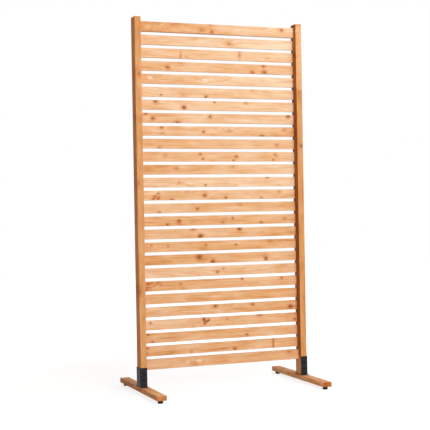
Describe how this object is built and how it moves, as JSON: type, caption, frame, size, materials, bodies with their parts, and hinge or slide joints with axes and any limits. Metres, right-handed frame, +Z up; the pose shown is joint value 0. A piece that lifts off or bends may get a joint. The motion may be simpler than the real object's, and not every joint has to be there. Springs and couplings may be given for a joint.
{
  "type": "garden privacy screen",
  "caption": "Free-standing slatted wooden garden screen: horizontal slats and rails tenoned into two posts, on steel shoes, foot beams and screw-adjustable feet.",
  "frame": {"origin": "on the floor, in the middle of the four feet", "axes": "+X along the screen towards the picture's right post, -Y out of the front face, +Z up"},
  "size_m": [0.883, 0.6, 1.7998],
  "materials": {
    "slat_wood": "planed softwood with a warm honey oil stain, knots and fine grain, satin",
    "rail_wood": "planed softwood with a warm honey oil stain, satin",
    "post_wood": "planed softwood with a warm honey oil stain, satin",
    "beam_wood": "planed softwood with a warm honey oil stain, satin",
    "black_steel": "folded sheet steel, fine-textured black powder coat",
    "black_fastener": "black-coated steel screws and bolts, satin",
    "zinc_steel": "bright zinc-plated steel",
    "brad_steel": "plain stainless steel wire brads",
    "grip_plastic": "moulded black plastic, matte",
    "sole_rubber": "black rubber, matte"
  },
  "bodies": {
    "screen": {"bottom_rail": "rail_wood", "left_foot_beam": "beam_wood", "left_foot_inserts": "zinc_steel", "left_post": "post_wood", "left_post_shoe": "black_steel", "left_rail_screws": "zinc_steel", "left_shoe_bolts": "black_fastener", "left_shoe_screws": "black_fastener", "left_slat_brads": "brad_steel", "left_tee_nuts": "zinc_steel", "right_foot_beam": "beam_wood", "right_foot_inserts": "zinc_steel", "right_post": "post_wood", "right_post_shoe": "black_steel", "right_rail_screws": "zinc_steel", "right_shoe_bolts": "black_fastener", "right_shoe_screws": "black_fastener", "right_slat_brads": "brad_steel", "right_tee_nuts": "zinc_steel", "slat_01": "slat_wood", "slat_02": "slat_wood", "slat_03": "slat_wood", "slat_04": "slat_wood", "slat_05": "slat_wood", "slat_06": "slat_wood", "slat_07": "slat_wood", "slat_08": "slat_wood", "slat_09": "slat_wood", "slat_10": "slat_wood", "slat_11": "slat_wood", "slat_12": "slat_wood", "slat_13": "slat_wood", "slat_14": "slat_wood", "slat_15": "slat_wood", "slat_16": "slat_wood", "slat_17": "slat_wood", "slat_18": "slat_wood", "slat_19": "slat_wood", "slat_20": "slat_wood", "slat_21": "slat_wood", "slat_22": "slat_wood", "slat_23": "slat_wood", "slat_24": "slat_wood", "slat_25": "slat_wood", "top_rail": "rail_wood"},
    "left_front_sole": {"left_front_foot_sole": "sole_rubber"},
    "left_front_screw": {"left_front_foot_grip": "grip_plastic", "left_front_foot_stud": "zinc_steel"},
    "left_back_sole": {"left_back_foot_sole": "sole_rubber"},
    "left_back_screw": {"left_back_foot_grip": "grip_plastic", "left_back_foot_stud": "zinc_steel"},
    "right_front_sole": {"right_front_foot_sole": "sole_rubber"},
    "right_front_screw": {"right_front_foot_grip": "grip_plastic", "right_front_foot_stud": "zinc_steel"},
    "right_back_sole": {"right_back_foot_sole": "sole_rubber"},
    "right_back_screw": {"right_back_foot_grip": "grip_plastic", "right_back_foot_stud": "zinc_steel"}
  },
  "joints": [
    {"name": "left_front_foot_reach", "type": "slide", "parent": "screen", "child": "left_front_sole", "axis": [0, 0, -1], "range_m": [0, 0.012]},
    {"name": "left_front_foot_turn", "type": "hinge", "parent": "left_front_sole", "child": "left_front_screw", "pos_m": [-0.418, -0.275, 0.008], "axis": [0, 0, -1], "range_deg": [0, 3450]},
    {"name": "left_back_foot_reach", "type": "slide", "parent": "screen", "child": "left_back_sole", "axis": [0, 0, -1], "range_m": [0, 0.012]},
    {"name": "left_back_foot_turn", "type": "hinge", "parent": "left_back_sole", "child": "left_back_screw", "pos_m": [-0.418, 0.275, 0.008], "axis": [0, 0, -1], "range_deg": [0, 3450]},
    {"name": "right_front_foot_reach", "type": "slide", "parent": "screen", "child": "right_front_sole", "axis": [0, 0, -1], "range_m": [0, 0.012]},
    {"name": "right_front_foot_turn", "type": "hinge", "parent": "right_front_sole", "child": "right_front_screw", "pos_m": [0.418, -0.275, 0.008], "axis": [0, 0, -1], "range_deg": [0, 3450]},
    {"name": "right_back_foot_reach", "type": "slide", "parent": "screen", "child": "right_back_sole", "axis": [0, 0, -1], "range_m": [0, 0.012]},
    {"name": "right_back_foot_turn", "type": "hinge", "parent": "right_back_sole", "child": "right_back_screw", "pos_m": [0.418, 0.275, 0.008], "axis": [0, 0, -1], "range_deg": [0, 3450]}
  ],
  "couplings": [
    {"joint": "left_front_foot_reach", "follows": "left_front_foot_turn", "m_per_rad": 0.00019894},
    {"joint": "left_back_foot_reach", "follows": "left_back_foot_turn", "m_per_rad": 0.00019894},
    {"joint": "right_front_foot_reach", "follows": "right_front_foot_turn", "m_per_rad": 0.00019894},
    {"joint": "right_back_foot_reach", "follows": "right_back_foot_turn", "m_per_rad": 0.00019894}
  ]
}
